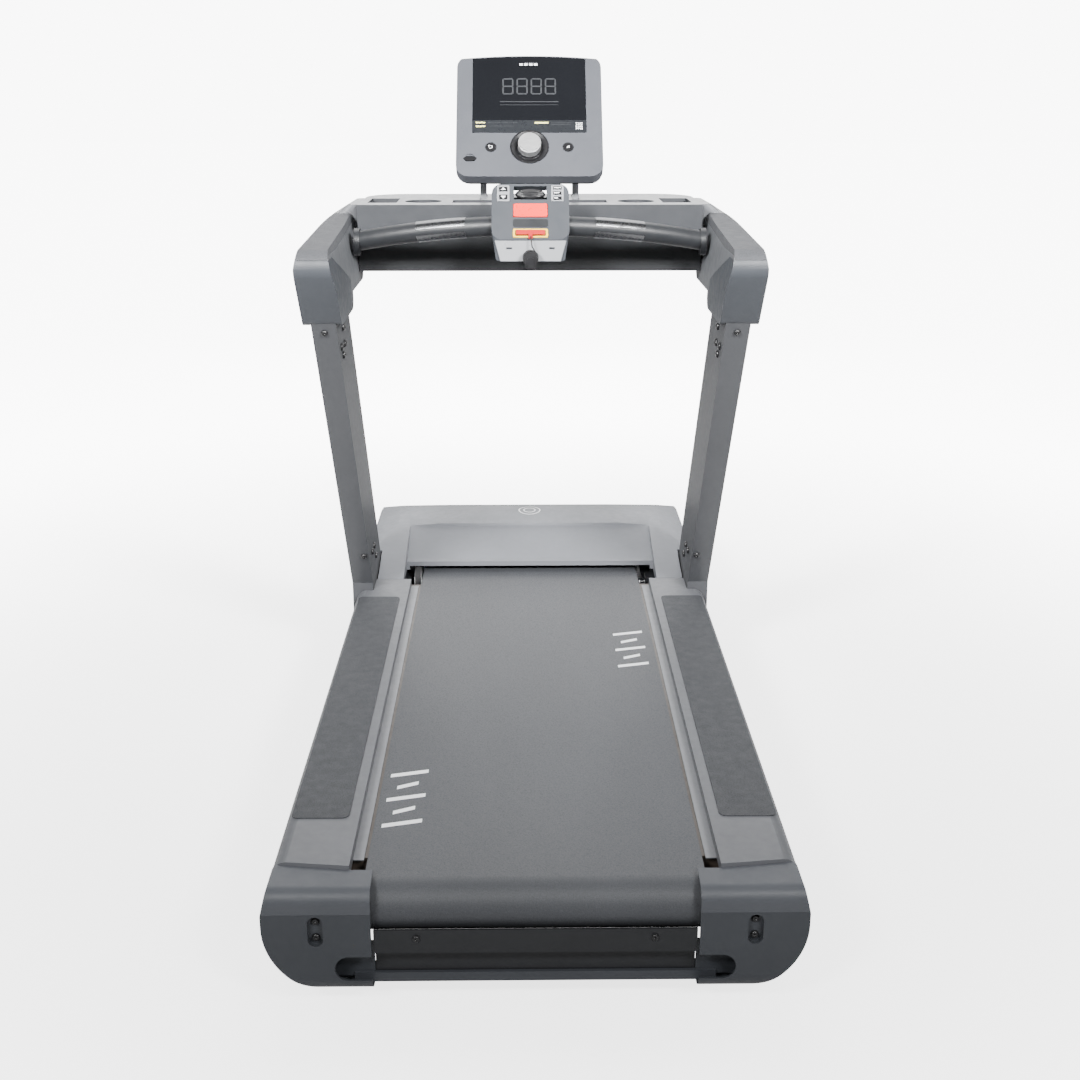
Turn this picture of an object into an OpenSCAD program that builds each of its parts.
// Commercial treadmill. Millimetres, +Z up, +Y towards the motor hood, origin on the floor under the
// middle of the machine. The runner faces +Y and steps on from the rear end, at -Y.

/* [Overall] */
// Length over the hood and the rear cover
overall_l = 2120; // [2060:10:2300]
// Width over the arms
overall_w = 906; // [880:2:1000]
// Height of the running surface above the floor
belt_top = 215; // [205:1:250]
// Height of the grip pads' top at the elbow
arm_h = 1122; // [1060:2:1200]

/* [Running gear] */
// Width of the running belt
belt_w = 550; // [500:10:560]
// Thickness of the running belt
belt_t = 2.5; // [1.5:0.1:4]
// Radius of both rollers
roller_r = 42; // [34:1:44]
// Distance between the two roller axes
roller_span = 1522; // [1400:2:1540]
// Thickness of the deck board
deck_t = 25; // [18:1:27]
// Radius of the pulley on the front roller
big_pulley_r = 58; // [44:1:62]
// Radius of the pulley on the motor shaft
motor_pulley_r = 22; // [16:1:30]
// Radius of the motor casing
motor_r = 62; // [45:1:66]

/* [Frame] */
// Width of each main frame rail
rail_w = 50; // [40:1:56]
// Wall of the steel tubes
tube_wall = 4; // [2:0.5:6]
// Lean of the uprights back from the vertical, in degrees
lean = 34; // [26:0.5:36]
// Thickness of an upright, across the machine
upright_w = 50; // [40:1:56]
// Depth of an upright, along the machine and square to its lean
upright_d = 176; // [140:2:190]
// Radius of a levelling pad
pad_r = 23; // [18:1:30]
// Radius of a lift wheel
wheel_r = 35; // [28:1:40]

/* [Covers] */
// Wall of the moulded covers
cover_wall = 4; // [3:0.5:5]
// Height of the side covers above the running surface
cover_rise = 18; // [14:1:26]
// Length of the non-slip step mats
mat_l = 1086; // [900:2:1100]
// Thickness of the step mats
mat_t = 2; // [1:0.5:3]
// Highest point of the motor hood
hood_top = 311; // [306:1:336]

/* [Console] */
// Width of the console
console_w = 327; // [290:1:350]
// Height of the console's face
console_h = 318; // [300:1:340]
// Lean of the console's face back from the vertical, in degrees
console_lean = 37; // [24:1:40]
// Radius of the handlebar
bar_r = 20.5; // [17:0.5:22]
// Radius of the dial's metal face
dial_r = 25.5; // [22:0.5:28]

/* [Hidden] */
$fn = 48;
run_gap = 0.05; // radial clearance of a running shaft
fit_gap = 0.4; // clearance between parts that slide or drop in
front_y = overall_l / 2;
rear_y = -overall_l / 2;

// running gear
axis_z = belt_top - belt_t - roller_r;
rear_roller_y = rear_y + 60;
front_roller_y = rear_roller_y + roller_span;
wrap_r = roller_r + belt_t;
roller_half = belt_w / 2 + 4;
axle_r = 10;
deck_top = belt_top - belt_t - 0.3;
deck_y0 = rear_roller_y + 62;
deck_y1 = front_roller_y - 132;

// frame
rail_in = roller_half + 21;
rail_out = rail_in + rail_w;
rail_top = axis_z - axle_r - 5.5;
rail_bot = 70;
rail_y0 = rear_y + 34;
rail_y1 = front_y - 120;
deck_half = rail_in + 12;
beam_z0 = axis_z - wrap_r + 5;
deck_beams_y = [deck_y0 + 140, deck_y0 + 580, deck_y0 + 1020, deck_y1 - 40];
pivot_x = rail_in + 22;
pivot_y = rear_y + 100;
pivot_z = 14;
ball_r = 8;

// uprights
up_in = overall_w / 2 - 66;
up_out = up_in + upright_w;
joint_z = belt_top + 107;
joint_y = front_roller_y - 275;
up_depth = upright_d / cos(lean);
function up_rear(z) = joint_y - (z - joint_z) * tan(lean);
function up_front(z) = up_rear(z) + up_depth;

// arms
arm_top = arm_h;
arm_out = overall_w / 2;
arm_in = up_in - 12;
arm_front_y = up_rear(arm_h - 160) + 430;
casing_bot = arm_h - 120;
nose_y = up_rear(arm_h) + 16;
elbow_z = arm_h - 158;
tray_z = arm_h + 50;

// lift gear
lift_y = front_roller_y + 98;
lift_z = 62;
wheel_y = front_y - 55;
lift_half = rail_in - 38;
wheel_x = rail_in - 64;
horn_x = 120;
horn_r = 90;
horn_lean = 18;
rod_y = lift_y - horn_r * sin(horn_lean);
rod_z = lift_z + horn_r * cos(horn_lean) + 2.2;
pin_r = 6;

// drive
motor_y = front_roller_y + 238;
motor_z = 152;
plate_z = motor_z - motor_r - 4;
pulley_x0 = -rail_in + 1;
pulley_x1 = -roller_half - 2;
vbelt_t = 4;

// covers
cover_top = belt_top + cover_rise;
cover_in = deck_half - 13;
cover_out = overall_w / 2 - 26;
cover_y0 = rear_y + 112;
cover_y1 = front_roller_y - 147;
cap_in = belt_w / 2 - 13;
cap_out = overall_w / 2 - 18;
screw_x = cap_in + 87;
screw_z = [137, 166];
seam_z = belt_top - 33;
hood_y0 = cover_y1 + 1;
hood_mid_y = front_roller_y - 36;
skirt_z = rail_bot + 14;
crest_y = front_roller_y + 205;
valley_z = max(belt_top + 26, axis_z + big_pulley_r + vbelt_t + cover_wall + 4);
mat_y0 = cover_y0 + 104;

// handlebar, pod and tray
bar_y = up_rear(arm_h) + 376;
bar_end_z = arm_h - 22;
bar_mid_z = arm_h + 19;
pod_half = 80;
pod_y = bar_y - 75;
pod_z = bar_mid_z;
tray_y0 = bar_y + 62;
tray_y1 = tray_y0 + 300;
beam_y = tray_y0 + 190;
beam_z = arm_h - 58;

// console: local Z runs up its face and local -Y out of it
face_y = tray_y0 + 85;
face_z = tray_z + 54;
dial_z = 76;
button_x = 86;
button_z = 75;
button_r = 10.5;

// ---- helpers ----

// a copy on each side of the machine
module both() {
    children();
    mirror([1, 0, 0]) children();
}

// an outline in (y, z), drawn out along X
module along_x(x0, x1) {
    translate([x0, 0, 0]) rotate([90, 0, 90]) linear_extrude(x1 - x0) children();
}

// an outline in (x, z), drawn out along Y
module along_y(y0, y1) {
    translate([0, y1, 0]) rotate([90, 0, 0]) linear_extrude(y1 - y0) children();
}

module block(x, y, z) {
    translate([x[0], y[0], z[0]]) cube([x[1] - x[0], y[1] - y[0], z[1] - z[0]]);
}

module rod_x(x0, x1, y, z, r) {
    translate([x0, y, z]) rotate([0, 90, 0]) cylinder(h = x1 - x0, r = r);
}

module rod_y(y0, y1, x, z, r) {
    translate([x, y1, z]) rotate([90, 0, 0]) cylinder(h = y1 - y0, r = r);
}

module soft_rect(w, h, r) {
    offset(r, $fn = 20) square([w - 2 * r, h - 2 * r], center = true);
}

// tight outline round two circles on one level
module stadium(y0, y1, z, r) {
    translate([y0, z]) circle(r);
    translate([y1, z]) circle(r);
    translate([y0, z - r]) square([y1 - y0, 2 * r]);
}

// moves into the console's own frame
module on_console() {
    translate([0, face_y, face_z]) rotate([-console_lean, 0, 0]) children();
}

// ---- feet, frame and running gear ----

module foot_pads() {
    color("#222326") both() translate([pivot_x, pivot_y, 0]) difference() {
        union() {
            cylinder(h = 6, r = pad_r);
            translate([0, 0, 6]) cylinder(h = pivot_z - 7, r1 = pad_r - 2, r2 = ball_r + 6);
        }
        translate([0, 0, pivot_z]) sphere(ball_r + run_gap);
    }
    // hinge pin through the stud's ball
    color("#222326") both() rod_x(pivot_x - ball_r - 5, pivot_x + ball_r + 5, pivot_y, pivot_z, 2.5);
}

module levelling_stud() {
    translate([pivot_x, pivot_y, pivot_z]) difference() {
        union() {
            sphere(ball_r);
            cylinder(h = rail_bot - pivot_z + 20, r = 6);
        }
        rod_x(-ball_r - 1, ball_r + 1, 0, 0, 2.5 + run_gap);
    }
    translate([pivot_x, pivot_y, rail_bot - 9]) cylinder(h = 9.5, r = 10, $fn = 6);
}

module frame_rails() {
    color("#3b3e43") {
        both() difference() {
            block([rail_in, rail_out], [rail_y0, rail_y1], [rail_bot, rail_top]);
            block([rail_in + tube_wall, rail_out - tube_wall],
                [rail_y0 + 3, rail_y1 + 1], [rail_bot + tube_wall, rail_top - tube_wall]);
        }
        both() levelling_stud();
        both() along_x(rail_out, up_in) stadium(joint_y + 30, joint_y + 150, rail_bot + 34, 16);
    }
}

module cross_members() {
    color("#3b3e43") {
        for (y = deck_beams_y)
            block([-rail_in, rail_in], [y - 18, y + 18], [beam_z0, rail_top - 1]);
        block([-rail_in, rail_in], [rail_y1 - 50, rail_y1 - 4], [rail_bot + 8, rail_bot + 48]);
        // bridge that carries the motor and the lift
        for (x = [[-rail_in, horn_x - 30], [horn_x + 30, rail_in]])
            block(x, [lift_y - 14, lift_y + 14], [lift_z + 44, lift_z + 52]);
        for (x = [-lift_half - 12, lift_half + 4]) difference() {
            block([x, x + 8], [lift_y - 14, lift_y + 14], [lift_z - 20, lift_z + 45]);
            rod_x(x - 1, x + 9, lift_y, lift_z, 12 + run_gap);
        }
    }
}

module deck() {
    color("#2a2623") block([-deck_half, deck_half], [deck_y0, deck_y1], [deck_top - deck_t, deck_top]);
}

module deck_cushions() {
    color("#19191b") both() for (y = deck_beams_y)
        translate([roller_half - 34, y, rail_top - 1])
            cylinder(h = deck_top - deck_t - rail_top + 1, r1 = 20, r2 = 16);
}

module running_belt() {
    color("#4b4d50") along_x(-belt_w / 2, belt_w / 2) difference() {
        stadium(rear_roller_y, front_roller_y, axis_z, wrap_r);
        stadium(rear_roller_y, front_roller_y, axis_z, roller_r + 0.3);
    }
}

module roller(y, r) {
    difference() {
        rod_x(-roller_half, roller_half, y, axis_z, r);
        rod_x(-roller_half - 1, roller_half + 1, y, axis_z, axle_r + run_gap);
    }
}

module rear_roller() {
    color("#9a9ca0") roller(rear_roller_y, roller_r);
}

module front_roller() {
    color("#9a9ca0") difference() {
        union() {
            roller(front_roller_y, roller_r);
            rod_x(pulley_x0, pulley_x1, front_roller_y, axis_z, big_pulley_r);
            rod_x(pulley_x1 - 1, -roller_half + 1, front_roller_y, axis_z, 24);
        }
        rod_x(pulley_x0 - 1, roller_half + 1, front_roller_y, axis_z, axle_r + run_gap);
    }
}

module rear_axle() {
    color("#b4b6ba") for (y = [rear_roller_y, front_roller_y])
        rod_x(-rail_out + 8, rail_out - 8, y, axis_z, axle_r);
}

module axle_blocks() {
    color("#55585c") both() for (y = [rear_roller_y, front_roller_y]) difference() {
        block([rail_in + 2, rail_out - 6], [y - 24, y + 24], [rail_top, axis_z + 22]);
        rod_x(rail_in - 1, rail_out + 1, y, axis_z, axle_r + run_gap / 2);
    }
}

// ---- drive and lift ----

module motor_housing() {
    color("#2c2e31") {
        difference() {
            union() {
                rod_x(pulley_x1 + 18, -20, motor_y, motor_z, motor_r);
                for (x = [pulley_x1 + 40, -70])
                    block([x, x + 26], [motor_y - 46, motor_y + 46], [plate_z, motor_z - motor_r + 26]);
            }
            rod_x(pulley_x1 + 24, -26, motor_y, motor_z, motor_r - 5);
            rod_x(pulley_x0, 0, motor_y, motor_z, 9 + run_gap);
        }
        block([-rail_in, 40], [motor_y - 50, motor_y + 50], [plate_z - 6, plate_z]);
    }
}

module motor_rotor() {
    color("#8c8f94") {
        rod_x(pulley_x0, 6, motor_y, motor_z, 9);
        rod_x(pulley_x1 + 40, -44, motor_y, motor_z, motor_r - 12);
        rod_x(pulley_x0, pulley_x1, motor_y, motor_z, motor_pulley_r);
        rod_x(-12, 6, motor_y, motor_z, motor_r - 6);
    }
}

// outline of a belt round both pulleys, grown by g
module pulley_loop(g) {
    dy = motor_y - front_roller_y;
    dz = motor_z - axis_z;
    run = sqrt(dy * dy + dz * dz);
    turn = atan2(dz, dy);
    r1 = big_pulley_r + g;
    r2 = motor_pulley_r + g;
    side = acos((r1 - r2) / run);
    translate([front_roller_y, axis_z]) rotate(turn) {
        circle(r1);
        translate([run, 0]) circle(r2);
        polygon([[r1 * cos(side), r1 * sin(side)], [run + r2 * cos(side), r2 * sin(side)],
            [run + r2 * cos(side), -r2 * sin(side)], [r1 * cos(side), -r1 * sin(side)]]);
    }
}

module drive_belt() {
    color("#1c1c1e") along_x(pulley_x0 + 2, pulley_x1 - 2) difference() {
        pulley_loop(0.3 + vbelt_t);
        pulley_loop(0.3);
    }
}

module motor_controller() {
    color("#5d6a5f") {
        block([rail_in - 150, rail_in - 38], [motor_y - 70, motor_y + 90], [rail_bot + 8, rail_bot + 14]);
        block([rail_in - 140, rail_in - 104], [motor_y - 60, motor_y + 80], [rail_bot + 13, rail_bot + 78]);
        for (y = [-40, 10, 56])
            translate([rail_in - 70, motor_y + y, rail_bot + 13]) cylinder(h = 44, r = 15);
        block([rail_in - 151, rail_in], [motor_y - 20, motor_y + 20], [rail_bot + 4, rail_bot + 8.5]);
    }
}

rod_len = 118;
rod_r = 9;
tube_r = 21;

module actuator_body() {
    color("#3f4247") {
        difference() {
            rod_y(rod_y + 84, rod_y + 84 + rod_len + 40, horn_x, rod_z, tube_r);
            rod_y(rod_y + 83, rod_y + 84 + rod_len + 30, horn_x, rod_z, rod_r + run_gap);
        }
        rod_y(rod_y + 84 + rod_len + 39, rod_y + 84 + rod_len + 100, horn_x, rod_z, 30);
        block([horn_x - 16, horn_x + 16], [rod_y + 112, rod_y + 152], [rail_bot + 9, rod_z - tube_r + 4]);
        block([horn_x - 24, 149], [rod_y + 102, rod_y + 162], [rail_bot + 4, rail_bot + 10]);
    }
}

module actuator_rod() {
    color("#c5c7ca") difference() {
        union() {
            rod_y(rod_y + 14, rod_y + 132, horn_x, rod_z, rod_r);
            block([horn_x - 9, horn_x + 9], [rod_y - 16, rod_y + 18], [rod_z - 16, rod_z + 16]);
        }
        rod_x(horn_x - 10, horn_x + 10, rod_y, rod_z, pin_r + 4);
    }
}

module lift_arm(x) {
    difference() {
        hull($fn = 32) {
            rod_x(x - 4, x + 4, lift_y, lift_z, 22, $fn = 32);
            rod_x(x - 4, x + 4, wheel_y, wheel_r, 15, $fn = 32);
        }
        rod_x(x - 5, x + 5, wheel_y, wheel_r, 8);
    }
}

module lift_frame() {
    color("#45484d") {
        rod_x(-lift_half - 16, lift_half + 16, lift_y, lift_z, 12);
        rod_x(-lift_half + 2, lift_half - 2, lift_y, lift_z, 18);
        for (x = [-wheel_x - 22, wheel_x + 22]) lift_arm(x);
        for (s = [-1, 1]) rod_x(s * wheel_x - 27, s * wheel_x + 27, wheel_y, wheel_r, 8.01);
        // horn with its fork and pin
        translate([horn_x, lift_y, lift_z]) rotate([horn_lean, 0, 0]) {
            for (x = [-20, 12]) translate([x, -14, 0]) cube([8, 28, horn_r + 10]);
            translate([-20, 0, horn_r]) rotate([0, 90, 0]) cylinder(h = 40, r = pin_r);
        }
    }
}

module lift_wheels() {
    color("#202124") both() difference() {
        rod_x(wheel_x - 15, wheel_x + 15, wheel_y, wheel_r, wheel_r);
        rod_x(wheel_x - 16, wheel_x + 16, wheel_y, wheel_r, 8.01 + run_gap);
    }
}

// ---- covers ----

// cross-section of a side cover in (x, z): a top with a rounded outer edge, open below
module rail_profile(g) {
    difference() {
        union() {
            translate([cover_in + g, rail_bot - 20]) square([cover_out - cover_in - 24 - g, cover_top + 20 - rail_bot - g]);
            translate([cover_out - 26, rail_bot - 20]) square([26 - g, cover_top - 6 - rail_bot]);
            translate([cover_out - 26, cover_top - 26]) circle(26 - g);
        }
    }
}

module side_covers() {
    color("#5a5d62") both() difference() {
        union() {
        along_y(cover_y0 - 60, cover_y1 - 0.5) difference() {
            rail_profile(0);
            difference() {
                rail_profile(cover_wall);
                translate([0, cover_top - 200]) square([cover_in + cover_wall + 0.01, 400]);
            }
            // foot of the inner wall stands on the deck's edge
            translate([cover_in - 1, 0]) square([cover_wall + 1.01, deck_top + 0.3]);
        }
        // light strip beside the belt
        along_y(cover_y0 + 0.5, cover_y1 - 0.5)
            translate([belt_w / 2 + 6, deck_top]) square([cover_in - belt_w / 2 - 5.5, 2]);
        intersection() {
            along_y(cover_y0 - 60, cover_y0 + 40) rail_profile(0.2);
            translate([0, cover_wall, 0]) linear_extrude(overall_l) cap_plan();
            block([0, overall_w], [rear_y, cover_y0 + 40], [axis_z + 23, overall_l]);
        }
        }
        along_x(up_in - 1, overall_w) upright_side(1);
        translate([0, 0.6, 0]) linear_extrude(overall_l) cap_plan();
        block([0, overall_w], [rear_y, cover_y0 + 31], [0, seam_z + 0.6]);
    }
}

module step_mats() {
    color("#2f3134") both() translate([(cover_in + cover_out) / 2 + 3, mat_y0 + mat_l / 2, cover_top])
        linear_extrude(mat_t) soft_rect(cover_out - cover_in - 30, mat_l, 12);
}

// side view of a rear corner in (y, z), shrunk by g
module cap_side(g) {
    offset(delta = -g) hull() {
        translate([rear_y + 26, seam_z + 14]) circle(26, $fn = 48);
        translate([rear_y + 30, 66]) circle(30, $fn = 48);
        translate([cover_y0 + 18, 36]) square([12 + g, cover_top - 36]);
    }
}

// rear view of a rear corner in (x, z), shrunk by g
module cap_back(g) {
    offset(delta = -g) hull() {
        translate([cap_out - 14, seam_z - 4]) circle(14, $fn = 48);
        translate([cap_out - 122, 158]) circle(122, $fn = 96);
        translate([cap_in, 30]) square([40, cover_top - 30]);
        translate([cover_out - 22, cover_top - 22]) circle(22, $fn = 48);
    }
}

// plan of a rear corner: its front edge slants back towards the belt
module cap_plan() {
    polygon([[cap_in - 2, rear_y - 1], [cap_in - 2, cover_y0 - 50], [cover_in, cover_y0 - 50],
        [overall_w, cover_y0 + 22], [overall_w, rear_y - 1]]);
}

module cap_solid(g) {
    intersection() {
        along_x(cap_in - 1, cap_out) cap_side(g);
        along_y(rear_y - 1, cover_y0 + 30) cap_back(g);
    }
}

// a whole rear corner, cut along its seam with the side cover
module cap_outer() {
    intersection() {
        cap_solid(0);
        linear_extrude(overall_l) cap_plan();
    }
}

module rear_caps() {
    color("#54575c") both() difference() {
        cap_outer();
        cap_solid(cover_wall);
        block([0, overall_w], [rear_y - 1, cover_y0 + 31], [0, seam_z + 0.2]);
        // room for the end of the belt
        rod_x(cap_in - 2, roller_half + 2, rear_roller_y, axis_z, wrap_r + 3);
        block([cap_in - 2, roller_half + 3], [rear_roller_y, cover_y0 + 2], [0, belt_top + 3]);
    }
}

module rear_cover() {
    color("#3a3d42") {
        both() difference() {
            union() {
                difference() {
                    cap_outer();
                    cap_solid(cover_wall);
                }
                // floor of the screw pocket
                intersection() {
                    cap_solid(0.5);
                    block([screw_x - 19, screw_x + 19], [rear_y + 1, rear_y + 17], [screw_z[0] - 20, seam_z]);
                }
            }
            block([0, overall_w], [rear_y - 1, cover_y0 + 1], [seam_z, overall_w]);
            rod_x(cap_in - 2, roller_half + 2, rear_roller_y, axis_z, wrap_r + 3);
            block([cap_in - 2, roller_half + 3], [rear_roller_y, cover_y0 + 2], [60, 300]);
            block([rail_in - 8, rail_out + 8], [rail_y0 - 2, cover_y0 + 1], [rail_bot - 3, 300]);
            translate([pivot_x, pivot_y, 0]) cylinder(h = 60, r = pad_r + 4);
            // stadium pocket
            along_y(rear_y - 1, rear_y + 10) {
                for (z = screw_z) translate([screw_x, z]) circle(12);
                translate([screw_x - 12, screw_z[0]]) square([24, screw_z[1] - screw_z[0]]);
            }
            // dark hollow that runs in under the belt
            along_y(rear_y - 1, rear_y + 33) {
                translate([cap_in + 36, 83]) circle(22);
                translate([cap_in - 2, 61]) square([38, 44]);
            }
        }
        // dark plate behind the hollow under the belt
        both() block([cap_in - 3, cap_in + 66], [rear_y + 28.5, rear_y + 32], [52, 116]);
        // low bar that joins the two corners
        along_x(-cap_in - 30, cap_in + 30) translate([rear_y + 24, 43]) square([34, 17]);
    }
}

module roller_guard() {
    color("#1d1e20") {
        block([-cap_in + 4, cap_in - 4], [rear_y + 6, rear_y + 10], [118, 150]);
        block([-cap_in + 4, cap_in - 4], [rear_y + 30, rear_y + 34], [60.5, 110]);
        block([-cap_in + 4, cap_in - 4], [rear_y + 6, rear_y + 34], [108, 112]);
        block([-cap_in + 4, cap_in - 4], [rear_y + 6, rear_y + 10], [108, 119]);
    }
}

// side view of the hood in (y, z), by arcs and straight runs, less a wall of g
module hood_side(g) {
    hull() {
        translate([hood_y0, 20]) square([10, cover_top - 20 - g]);
        translate([crest_y, hood_top - 260]) circle(260 - g, $fn = 144);
        translate([front_y - 80, 150]) circle(80 - g, $fn = 48);
        translate([front_y - 40 - g, 20]) square([40, 130]);
    }
}

module hood_plan(g) {
    hull() {
        translate([-cover_out + 8 + g, hood_y0]) square([2 * cover_out - 16 - 2 * g, 10]);
        for (s = [-1, 1]) translate([s * (cover_out - 208), front_y - 202]) circle(200 - g, $fn = 96);
    }
}

// rear view of the hood in (x, z), with round shoulders
module hood_back(g) {
    hull() {
        translate([0, hood_top - 1600]) circle(1600 - g, $fn = 360);
        for (s = [-1, 1]) {
            translate([s * (cover_out - 90), hood_top - 104]) circle(82 - g, $fn = 64);
            translate([s * (cover_out - 28), 20]) square([40 - 2 * g, 40], center = true);
        }
    }
}

// the sunk middle of the hood: what lies above its slope, lowered by g
module hood_valley(g) {
    half = belt_w / 2 + 44 + g;
    along_x(-half, half) polygon([[hood_y0 - 20, valley_z - g], [hood_mid_y + 20 - g, valley_z - g],
        [hood_mid_y + 26 - g, valley_z + 2 - g], [crest_y - 90, hood_top - 20 - g],
        [crest_y - 70, hood_top + 50], [hood_y0 - 20, hood_top + 50]]);
}

module hood_solid(g) {
    difference() {
        intersection() {
            along_x(-cover_out, cover_out) hood_side(g);
            along_y(hood_y0, front_y) intersection() {
                hood_back(g);
                translate([-cover_out, 0]) square([2 * cover_out, 2 * hood_top]);
            }
            translate([0, 0, skirt_z - 6 * g]) linear_extrude(hood_top) hood_plan(g);
        }
        hood_valley(g);
        block([-belt_w / 2 - 44 - g, belt_w / 2 + 44 + g], [hood_y0 - 20, hood_mid_y + g], [60, hood_top]);
    }
}

module hood() {
    color("#6f7276") difference() {
        hood_solid(0);
        hood_solid(cover_wall);
        // mouth over the belt, side openings for the uprights and the rear edge over the side covers
        block([-belt_w / 2 - 36, belt_w / 2 + 36], [hood_mid_y - 1, hood_mid_y + 5], [60, belt_top + 14]);
        both() block([up_in - 4, overall_w], [hood_y0 - 2, up_front(joint_z - 70) + 2], [60, hood_top]);
        block([-up_in, up_in], [hood_y0 - 2, hood_mid_y + 5], [60, belt_top + 4]);
        block([-cover_out, cover_out], [hood_y0 - 2, hood_y0 + 12], [0, cover_top - cover_wall]);
        block([-158 - fit_gap, -52 + fit_gap], [front_y - 13 - fit_gap, front_y + 1],
            [98 - fit_gap, 160 + fit_gap]);
    }
}

module inlet_panel() {
    color("#1a1b1d") difference() {
        block([-158, -52], [front_y - 13, front_y - 8], [98, 160]);
        block([-140, -113], [front_y - 14, front_y - 9.5], [112, 132]);
        block([-96 - fit_gap, -70 + fit_gap], [front_y - 20, front_y], [116 - fit_gap, 140 + fit_gap]);
    }
    color("#1a1b1d") {
        block([-142, -111], [front_y - 30, front_y - 12.5], [110, 112.5]);
        block([-142, -111], [front_y - 30, front_y - 27], [110, 134]);
    }
}

module power_switch() {
    color("#8d1f1c") intersection() {
        block([-96, -70], [front_y - 22, front_y - 2], [118, 138]);
        rod_x(-97, -69, front_y - 17, 128, 12);
    }
}

// ---- uprights and arms ----

// side view of an upright in (y, z), grown or shrunk by g
module upright_side(g) {
    foot_z = joint_z - 70;
    polygon([[up_rear(foot_z) - g, rail_bot + 6 - g], [up_front(foot_z) - 40 + g, rail_bot + 6 - g],
        [up_front(foot_z) + g, foot_z - 30], [up_front(foot_z) + g, foot_z],
        [up_front(arm_h - 44) + g, arm_h - 44 + g], [up_rear(arm_h - 44) - g, arm_h - 44 + g],
        [up_rear(foot_z) - g, foot_z]]);
}

module upright() {
    difference() {
        along_x(up_in, up_out) upright_side(0);
        along_x(up_in + tube_wall, up_out - tube_wall) upright_side(-tube_wall);
    }
}

module upright_left() {
    color("#4b4e53") mirror([1, 0, 0]) upright();
}

module upright_right() {
    color("#4b4e53") upright();
}

// a domed screw along +X or along Y
module screw(r) {
    cylinder(h = 3, r = r);
    translate([0, 0, 3]) cylinder(h = 2.5, r1 = r, r2 = r * 0.6);
}

module bolts() {
    color("#1b1c1e") {
        both() for (p = [[0, 44], [26, 18], [52, 42], [34, 88]])
            translate([up_in, up_rear(elbow_z - 60) + 26 + p[0], elbow_z - 88 + p[1] * 0.8])
                rotate([0, -90, 0]) screw(8);
        both() for (p = [[50, 10], [96, 10], [130, -26]])
            translate([up_in, joint_y + p[0], joint_z + p[1]]) rotate([0, -90, 0]) screw(8);
        both() translate([(up_in + up_out) / 2, up_rear(elbow_z - 14), elbow_z - 14])
            rotate([90 + lean, 0, 0]) screw(7);
        both() translate([up_in + 12, up_rear(joint_z + 20), joint_z + 20])
            rotate([90 + lean, 0, 0]) screw(8);
        // in the rear cover's pockets
        both() for (z = screw_z) translate([screw_x, rear_y + 10, z]) rotate([90, 0, 0]) screw(6.5);
        for (s = [-1, 1]) translate([s * 190, rear_y + 6, 135]) rotate([90, 0, 0]) screw(6);
    }
}

// side view of an arm in (y, z)
module arm_side(g) {
    hull() {
        translate([nose_y + 34, arm_h - 34]) circle(34 - g, $fn = 32);
        translate([arm_front_y - 30, arm_h + 26 - 24]) circle(24 - g, $fn = 32);
        translate([arm_front_y - 30, casing_bot + 26]) circle(24 - g, $fn = 32);
        translate([up_front(casing_bot), casing_bot + 26]) circle(24 - g, $fn = 32);
    }
    hull() {
        translate([nose_y + 34, arm_h - 34]) circle(34 - g, $fn = 32);
        translate([up_rear(elbow_z) + 8, elbow_z + 24]) circle(22 - g, $fn = 32);
        translate([up_front(elbow_z) - 20, elbow_z + 26]) circle(22 - g, $fn = 32);
        translate([up_front(arm_h - 60), arm_h - 60]) circle(40 - g, $fn = 32);
    }
}

// an arm's cross-section in (x, z)
module arm_back(g) {
    hull() {
        translate([arm_in + g, elbow_z - 10]) square([arm_out - arm_in - 2 * g, 90]);
        translate([arm_out - 12, arm_h - 36]) circle(12 - g, $fn = 32);
        translate([arm_out - 24, arm_h + 12]) circle(14 - g, $fn = 32);
        translate([arm_in + 30, arm_h + 12]) circle(14 - g, $fn = 32);
    }
}

module arm_solid(g) {
    intersection() {
        along_x(arm_in - 1, arm_out + 1) arm_side(g);
        along_y(nose_y - 60, arm_front_y + 10) arm_back(g);
    }
}

// slanted cut between the elbow cover and the rest of the arm
module elbow_cut(g) {
    along_x(arm_in - 5, arm_out + 5)
        polygon([[nose_y - 200, elbow_z - 100], [nose_y - 200, arm_h - 18 - g], [nose_y + 60 - g, arm_h - 18 - g],
            [up_front(arm_h - 90) + 10 - g, arm_h - 90], [up_front(elbow_z) + 40 - g, elbow_z - 100]]);
}

// the run of the grip pad along an arm's top
module pad_run(g) {
    along_x(arm_in + 12 - g, arm_out - 6 + g)
        polygon([[nose_y - 60, arm_h - 17.6 - g], [nose_y + 40, arm_h - 17.6 - g], [arm_front_y - 20 + g, arm_h + 12 - g],
            [arm_front_y - 20 + g, arm_h + 60], [nose_y - 60, arm_h + 60]]);
}

module arm_shell() {
    difference() {
        arm_solid(0);
        arm_solid(cover_wall);
        // the upright comes in from below
        along_x(up_in - 2, up_out + 2) upright_side(2);
    }
}

// an arm's smooth front end, wrapped round the tray's corner
module arm_nose(g) {
    hull() {
        translate([arm_out - 14.5, arm_front_y - 5, arm_h - 36]) cylinder(h = 38 - g, r = 14 - g, $fn = 32);
        translate([arm_out - 16, tray_y1 - 90, arm_h - 36]) cylinder(h = 50 - g, r = 14 - g, $fn = 32);
        translate([arm_in + 14, tray_y1 - 34, arm_h - 30]) cylinder(h = tray_z - arm_h + 22 - g, r = 14 - g, $fn = 32);
        translate([arm_in + 15, arm_front_y - 5, arm_h - 36])
            cylinder(h = tray_z - arm_h + 30 - g, r = 14 - g, $fn = 32);
    }
}

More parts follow.
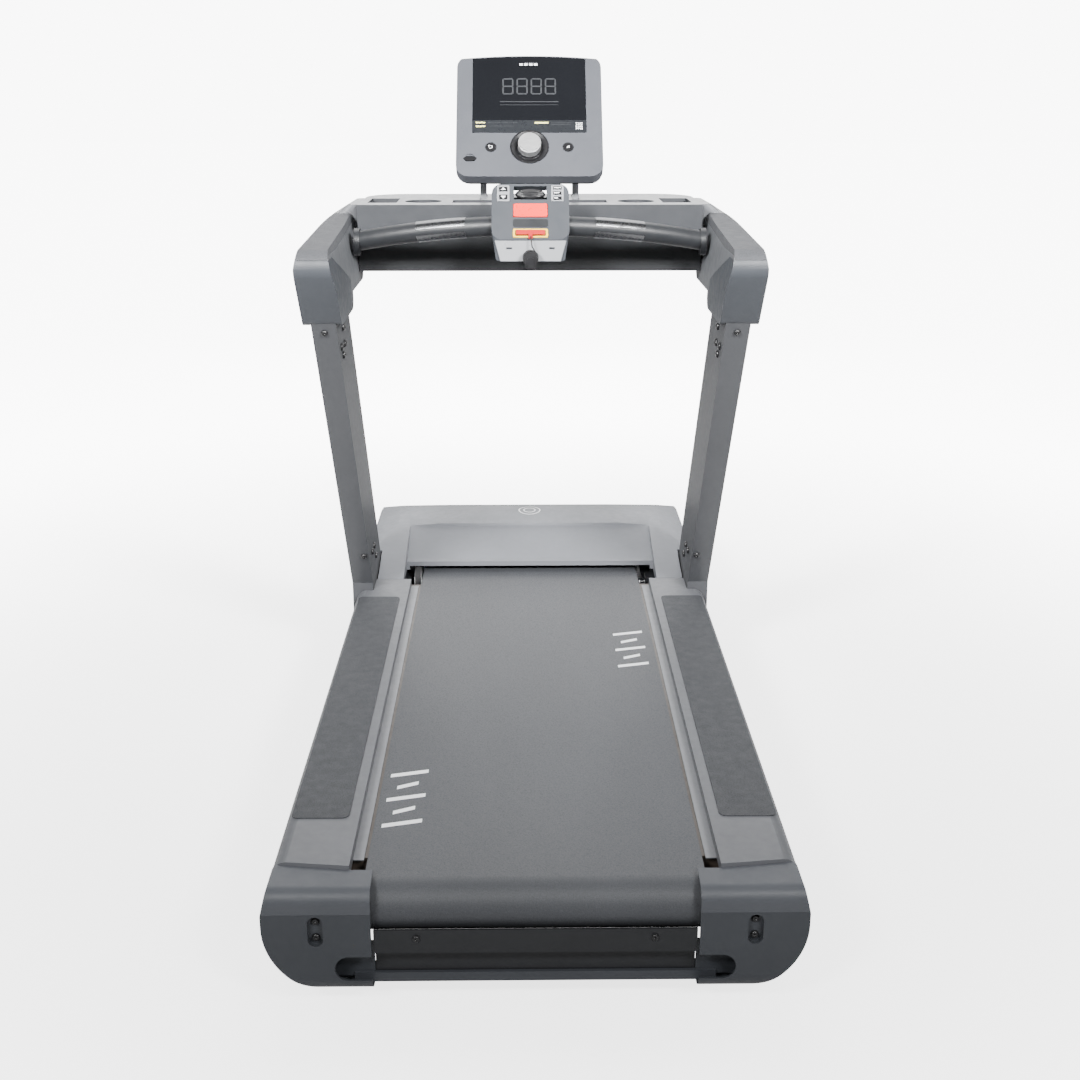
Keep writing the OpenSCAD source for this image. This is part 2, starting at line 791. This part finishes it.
module arm_casings() {
    color("#6a6d71") both() difference() {
        union() {
            difference() {
                arm_shell();
                pad_run(0.2);
            }
            difference() {
                arm_nose(0);
                translate([0, 0, -1]) arm_nose(cover_wall);
            }
        }
        elbow_cut(0);
        block([0, arm_in + 6], [tray_y0 + 4, arm_front_y - 8], [beam_z - 24, beam_z + 60]);
        block([up_in + 4, up_out - 8], [arm_front_y - 14, arm_front_y + 2], [beam_z - 20, beam_z + 20]);
    }
}

module elbow_covers() {
    color("#3f4246") both() intersection() {
        arm_shell();
        elbow_cut(0.4);
    }
}

module arm_pads() {
    color("#2f3134") both() intersection() {
        difference() {
            arm_solid(0);
            arm_solid(cover_wall + 2);
            elbow_cut(-0.2);
        }
        pad_run(0);
    }
}

tube_y0 = up_front(beam_z - 20) + 2;

module console_frame() {
    color("#2c2e31") {
        both() block([up_in + 8, up_out - 12], [tube_y0, beam_y + 24], [beam_z - 16, beam_z + 16]);
        difference() {
            block([-up_in - 9, up_in + 9], [beam_y - 24, beam_y + 24], [beam_z - 18, beam_z + 18]);
            block([-up_in, up_in], [beam_y - 20, beam_y + 20], [beam_z - 14, beam_z + 14]);
        }
        both() block([up_in + 6, up_out - 8], [tube_y0 - 1, tube_y0 + 7], [beam_z - 19, beam_z + 19]);
        // two arms that hold the console
        both() hull() {
            block([98, 112], [beam_y - 10, beam_y + 20], [beam_z + 10, beam_z + 17]);
            on_console() translate([98, shell_d + 44, 70]) cube([14, 8, 60]);
        }
    }
}

// ---- tray ----

module tray_plan(g) {
    hull() {
        translate([-arm_in + 1 + g, tray_y0 + g]) square([2 * arm_in - 2 - 2 * g, 60]);
        for (s = [-1, 1]) translate([s * (arm_in - 90), tray_y1 - 90]) circle(90 - g, $fn = 32);
    }
}

cup_r = 41;
cup_x = 236;
cup_y = tray_y0 + 92;
cup_depth = 92;
tray_bot = tray_z - 62;

module console_tray() {
    color("#6f7276") difference() {
        union() {
            difference() {
                translate([0, 0, tray_bot]) linear_extrude(tray_z - tray_bot) tray_plan(0);
                translate([0, 0, tray_bot - 1]) linear_extrude(tray_z - tray_bot - cover_wall + 1) tray_plan(cover_wall);
            }
            both() translate([cup_x, cup_y, tray_z - cup_depth - 3]) cylinder(h = cup_depth + 2, r = cup_r + 3);
            both() block([cup_x - 176, cup_x - 62], [tray_y0 + 50, tray_y0 + 128], [tray_z - 27, tray_z - 1]);
            both() block([cup_x + 54, cup_x + 124], [tray_y0 + 50, tray_y0 + 170], [tray_z - 27, tray_z - 1]);
        }
        both() translate([cup_x, cup_y, tray_z - cup_depth]) cylinder(h = cup_depth + 1, r = cup_r);
        both() block([cup_x - 173, cup_x - 65], [tray_y0 + 53, tray_y0 + 125], [tray_z - 24, tray_z + 1]);
        both() block([cup_x + 57, cup_x + 121], [tray_y0 + 53, tray_y0 + 167], [tray_z - 24, tray_z + 1]);
        // slots for the console's arms
        both() block([97, 113], [tray_y0 + 134, tray_y1 - 30], [tray_z - 20, tray_z + 1]);
    }
}

module fascia() {
    color("#232529") difference() {
        translate([0, 0, arm_h - 92]) linear_extrude(tray_bot - arm_h + 91.6) tray_plan(0);
        translate([0, 0, arm_h - 88]) linear_extrude(100) tray_plan(cover_wall);
        both() block([arm_in - 12, arm_in + 5], [beam_y - 26, beam_y + 26], [beam_z - 20, 2 * arm_h]);
        both() block([arm_in - 12, arm_in + 5], [beam_y - 30, beam_y + 26], [beam_z - 20, beam_z + 20]);
    }
}

// ---- handlebar and pod ----

bar_half = arm_in - 0.3;
bar_drop = bar_mid_z - bar_end_z;
bar_bow = bar_y - pod_y;
bar_sag = sqrt(bar_drop * bar_drop + bar_bow * bar_bow);
bar_ring = (bar_half * bar_half + bar_sag * bar_sag) / (2 * bar_sag);
bar_turn = asin(bar_half / bar_ring) + 1;
bar_tilt = atan2(bar_drop, bar_bow);
sensor_a = [for (x = [133, 235]) asin(x / bar_ring)];

// an arc of the handlebar's ring, from angle a to angle b off the middle
module bar_arc(a, b, r) {
    translate([0, pod_y, pod_z]) rotate([-bar_tilt, 0, 0]) translate([0, bar_ring, 0])
        rotate([0, 0, a - 90]) rotate_extrude(angle = b - a, $fn = 360)
            translate([bar_ring, 0]) circle(r, $fn = 48);
}

module handlebar() {
    color("#303236") intersection() {
        union() {
            bar_arc(-bar_turn, bar_turn, bar_r);
            both() rod_x(bar_half - 12, bar_half + 1, bar_y, bar_end_z, bar_r + 8);
        }
        block([-bar_half, bar_half], [pod_y - 200, bar_y + 200], [0, 2000]);
    }
}

module pulse_sensors() {
    color("#b9bcc0") both() for (up = [-1, 1]) intersection() {
        difference() {
            bar_arc(sensor_a[0], sensor_a[1], bar_r + 1);
            bar_arc(sensor_a[0] - 1, sensor_a[1] + 1, bar_r + 0.1);
        }
        translate([0, -0.42 * bar_r, 0.74 * up * bar_r]) bar_arc(sensor_a[0] - 1, sensor_a[1] + 1, bar_r * 0.72);
    }
}

pod_lean = 34;
pod_face_h = 128;
pod_face_y = pod_y - 50;
pod_face_z = pod_z - 23;

// the pod's own frame: Z up its face, -Y out of it
module on_pod() {
    translate([0, pod_face_y, pod_face_z]) rotate([-pod_lean, 0, 0]) children();
}

module pod_body(g) {
    hull() {
        on_pod() translate([0, 14, pod_face_h / 2]) rotate([90, 0, 0])
            linear_extrude(14 - g) soft_rect(2 * pod_half - 2 * g, pod_face_h - 2 * g, 22);
        translate([0, pod_y + 34, pod_z + 5]) rotate([90, 0, 0])
            linear_extrude(26) soft_rect(2 * pod_half - 10 - 2 * g, 90 - 2 * g, 20);
        translate([0, pod_face_y + 36, pod_face_z - 34]) rotate([90, 0, 0])
            linear_extrude(28) soft_rect(2 * pod_half - 16 - 2 * g, 22 - 2 * g, 8);
    }
}

// the outlines of what sits in the pod's face: [x, z, width, height]
stop_rect = [0, 66, 71, 31];
pad_rect = [0, 37, 72, 18];
key_rect = [0, 14, 72, 20];
vent_rect = [0, 107, 68, 31];
left_rect = [-56, 106, 26, 37];
right_rect = [56, 106, 26, 37];
key_pitch = 12;
key_w = 17;
key_h = 7;

// fills an outline on the pod's face from depth d0 to d1, measured into it
module on_face(rect, d0, d1, g, r) {
    on_pod() translate([rect[0], d1, rect[1]]) rotate([90, 0, 0])
        linear_extrude(d1 - d0) soft_rect(rect[2] + 2 * g, rect[3] + 2 * g, r);
}

module pocket(rect, d1, g) {
    on_pod() translate([rect[0] - rect[2] / 2 - g, -3, rect[1] - rect[3] / 2 - g])
        cube([rect[2] + 2 * g, d1 + 3, rect[3] + 2 * g]);
}

module pod_shell() {
    color("#303236") difference() {
        pod_body(0);
        bar_arc(-bar_turn, bar_turn, bar_r + 0.3);
        pocket(stop_rect, 12, 0);
        pocket(key_rect, 22, 0.2);
        pocket(vent_rect, 26, 0);
        pocket(left_rect, 9, 0);
        pocket(right_rect, 9, 0);
        translate([-pod_half, pod_face_y - 30, pod_face_z - 60]) cube([2 * pod_half, 36, 58]);
    }
}

module pod_plate() {
    color("#85888c") difference() {
        hull() {
            translate([-73, pod_face_y + 1, pod_face_z - 3]) cube([146, 4.8, 0.6]);
            translate([-62, pod_face_y + 1, pod_face_z - 44]) cube([124, 4.8, 1]);
        }
        for (s = [-1, 1]) block([s * 44 - 6, s * 44 + 6], [pod_face_y - 1, pod_face_y + 7], [pod_face_z - 20, pod_face_z - 16]);
    }
}

module key_socket() {
    color("#d8b21c") difference() {
        on_face(key_rect, -1.6, 21.5, 0, 3);
        pocket([key_rect[0], key_rect[1], 62, 12], 18, fit_gap);
    }
}

module key_bezels() {
    color("#a4a7ab") {
        for (s = [-1, 1]) difference() {
            on_face(s < 0 ? left_rect : right_rect, -0.6, 8.8, -0.2, 3);
            for (i = s < 0 ? [-0.75, 0.75] : [-1, 0, 1])
                pocket([s * 56, 106 + i * key_pitch, key_w, s < 0 ? key_h + 3 : key_h], 8.2, fit_gap);
        }
        on_face(pad_rect, -1, -0.02, 0, 4);
    }
}

module pod_key(side, i, h) {
    on_face([side * 56, 106 + i * key_pitch, key_w, h], -2, 6.6, 0, 2);
}

module up_key() {
    color("#2b2d30") pod_key(-1, 0.75, key_h + 3);
}

module down_key() {
    color("#2b2d30") pod_key(-1, -0.75, key_h + 3);
}

module quick_key_1() {
    color("#2b2d30") pod_key(1, 1, key_h);
}

module quick_key_2() {
    color("#2b2d30") pod_key(1, 0, key_h);
}

module quick_key_3() {
    color("#2b2d30") pod_key(1, -1, key_h);
}

module stop_button() {
    color("#d9281e") on_face(stop_rect, -2.5, 4.4, -fit_gap, 4);
}

module air_louvre() {
    color("#151618") on_pod() translate([0, 12, vent_rect[1]]) {
        rotate([0, 90, 0]) cylinder(h = vent_rect[2] - 1, r = 3, center = true);
        for (i = [-1, 0, 1]) translate([-vent_rect[2] / 2 + 2, -9, 8 * i - 1])
            cube([vent_rect[2] - 4, 17, 2]);
        for (x = [-28, -10, 8, 26]) translate([x, -8, -10]) cube([2, 15, 20]);
    }
}

module safety_key() {
    color("#c8241c") {
        difference() {
            on_face([0, key_rect[1], 60, 10], -6, 17, 0, 2);
        }
        on_pod() translate([0, -4, 3]) rotate([90, 0, 0]) cylinder(h = 2.5, r = 5);
        on_pod() translate([-4, -6.4, 3]) cube([8, 2.4, 10]);
    }
}

// ---- tether ----

coil_y = pod_face_y - 14;
coil_z = pod_face_z - 36;
coil_r = 19;
coil_hole = 10;
coil_w = 13;
cord_r = 1.25;
// the cord's free stretch, from the key's tab to the top of its coil
cord_route = [[0, -45, 1124], [0, -50, 1125], [1, -54, 1120], [2, -56, 1112], [3, -57, 1105], [4, -57, 1098]];

// a smooth curve through the route: point at t from 0 to 1 on stretch i
function at(i) = cord_route[max(0, min(len(cord_route) - 1, i))];
function curve(i, t) = 0.5 * ((2 * at(i)) + (at(i + 1) - at(i - 1)) * t
    + (2 * at(i - 1) - 5 * at(i) + 4 * at(i + 1) - at(i + 2)) * t * t
    + (3 * at(i) - at(i - 1) - 3 * at(i + 1) + at(i + 2)) * t * t * t);
function unit(v) = v / norm(v);

module tether_cord() {
    steps = 2;
    sides = 8;
    last = len(cord_route) - 1;
    path = concat([for (i = [0:last - 1], k = [0:steps - 1]) curve(i, k / steps)], [at(last)]);
    n = len(path);
    rings = [for (i = [0:n - 1])
        let (along = unit(path[min(n - 1, i + 1)] - path[max(0, i - 1)]),
            side = unit(cross(along, [1, 0, 0])), up = cross(along, side))
        for (k = [0:sides - 1]) path[i] + cord_r * (side * cos(360 * k / sides) + up * sin(360 * k / sides))];
    walls = [for (i = [0:n - 2], k = [0:sides - 1])
        [i * sides + k, i * sides + (k + 1) % sides, (i + 1) * sides + (k + 1) % sides, (i + 1) * sides + k]];
    ends = [[for (k = [sides - 1:-1:0]) k], [for (k = [0:sides - 1]) (n - 1) * sides + k]];
    color("#131415") polyhedron(rings, concat(walls, ends));
}

module tether_coil() {
    color("#131415") translate([0, coil_y + coil_w / 2, coil_z]) rotate([90, 0, 0])
        rotate_extrude() translate([coil_hole, 0]) square([coil_r - coil_hole, coil_w]);
}

module tether_clip() {
    color("#17181a") {
        rod_y(coil_y - coil_w / 2 - 0.2, coil_y + coil_w / 2 + 0.2, 0, coil_z, coil_hole + 0.1);
        translate([0, coil_y - coil_w / 2 - 0.1, coil_z - 4]) rotate([90, 0, 0])
            linear_extrude(4) soft_rect(24, 34, 5);
        translate([0, coil_y - coil_w / 2 - 4, coil_z - 8]) rotate([90, 0, 0])
            linear_extrude(3) soft_rect(14, 20, 4);
    }
}

// ---- console ----

shell_d = 26;
lens_w = console_w - 72;
lens_z0 = 113;
dish_r = 43;
ring_d = 12;
stem_r = 8;

module console_face(g) {
    intersection() {
        translate([0, console_h / 2]) soft_rect(console_w - 2 * g, console_h - 2 * g, 30);
        translate([0, console_h - 1500 - g]) circle(1500, $fn = 160);
    }
}

// the display glass runs up to the arched top edge
module lens_face(g) {
    intersection() {
        console_face(2.5 - g);
        translate([-lens_w / 2 - g, lens_z0 - g]) square([lens_w + 2 * g, console_h]);
    }
}

// draws an outline in local (x, z) from depth d0 to d1
module into_face(d0, d1) {
    translate([0, d1, 0]) rotate([90, 0, 0]) linear_extrude(d1 - d0) children();
}

module face_rod(x, z, d0, d1, r) {
    translate([x, d1, z]) rotate([90, 0, 0]) cylinder(h = d1 - d0, r = r);
}

module console_front() {
    color("#303236") on_console() difference() {
        into_face(0, shell_d) console_face(0);
        into_face(cover_wall + 4, shell_d + 1) console_face(cover_wall);
        into_face(-1, 3.4) lens_face(fit_gap);
        face_rod(0, dial_z, -1, shell_d, dish_r + 0.2);
        for (s = [-1, 1]) face_rod(s * button_x, button_z, -1, shell_d, button_r + 0.2);
        face_rod(-132, 46, -1, 3, 12);
    }
}

module console_back() {
    color("#2b2d30") on_console() difference() {
        hull() {
            into_face(shell_d + 0.3, shell_d + 6) console_face(1);
            translate([0, 0, 34]) into_face(shell_d + 6, shell_d + 44)
                translate([0, console_h / 2 - 30]) soft_rect(console_w - 110, console_h - 120, 30);
        }
        into_face(shell_d, shell_d + 3) console_face(cover_wall + 1);
        hull() {
            into_face(shell_d + 2, shell_d + 4) console_face(cover_wall + 1);
            translate([0, 0, 34]) into_face(shell_d + 4, shell_d + 40)
                translate([0, console_h / 2 - 30]) soft_rect(console_w - 118, console_h - 128, 26);
        }
    }
}

module display_lens() {
    color("#0c0d10") on_console() difference() {
        into_face(0.4, 3.4) lens_face(0);
        face_rod(0, dial_z, -1, 5, dish_r + fit_gap);
    }
}

module dial_ring() {
    color("#1a1b1d") on_console() difference() {
        face_rod(0, dial_z, -2, ring_d, dish_r);
        translate([0, -2.01, dial_z]) rotate([-90, 0, 0]) cylinder(h = ring_d - 4, r1 = dish_r - 3, r2 = dial_r + 3);
        face_rod(0, dial_z, -3, ring_d + 1, stem_r + run_gap);
    }
}

module dial_stem() {
    color("#606368") on_console() {
        face_rod(0, dial_z, 3, ring_d + 6, stem_r);
        face_rod(0, dial_z, -14, 4, stem_r - 2);
    }
}

module dial_cap() {
    color("#c3c5c8") on_console() difference() {
        union() {
            face_rod(0, dial_z, -16, 1.5, dial_r);
            face_rod(0, dial_z, -20, -15.9, dial_r - 2);
        }
        face_rod(0, dial_z, -14 - fit_gap, 3, stem_r - 2 + run_gap);
    }
}

module round_button(s) {
    on_console() face_rod(s * button_x, button_z, -1.2, 14, button_r);
}

module back_button() {
    color("#222427") round_button(-1);
}

module pause_button() {
    color("#222427") round_button(1);
}

foot_pads();
frame_rails();
cross_members();
deck();
deck_cushions();
running_belt();
rear_axle();
axle_blocks();
motor_housing();
drive_belt();
motor_controller();
actuator_body();
side_covers();
step_mats();
rear_cover();
rear_caps();
roller_guard();
hood();
inlet_panel();
power_switch();
upright_left();
upright_right();
bolts();
arm_casings();
arm_pads();
elbow_covers();
console_frame();
fascia();
console_tray();
handlebar();
pulse_sensors();
pod_shell();
pod_plate();
key_socket();
key_bezels();
console_front();
console_back();
display_lens();
dial_ring();
rear_roller();
front_roller();
motor_rotor();
lift_frame();
lift_wheels();
actuator_rod();
dial_stem();
dial_cap();
back_button();
pause_button();
stop_button();
up_key();
down_key();
quick_key_1();
quick_key_2();
quick_key_3();
air_louvre();
safety_key();
tether_cord();
tether_coil();
tether_clip();
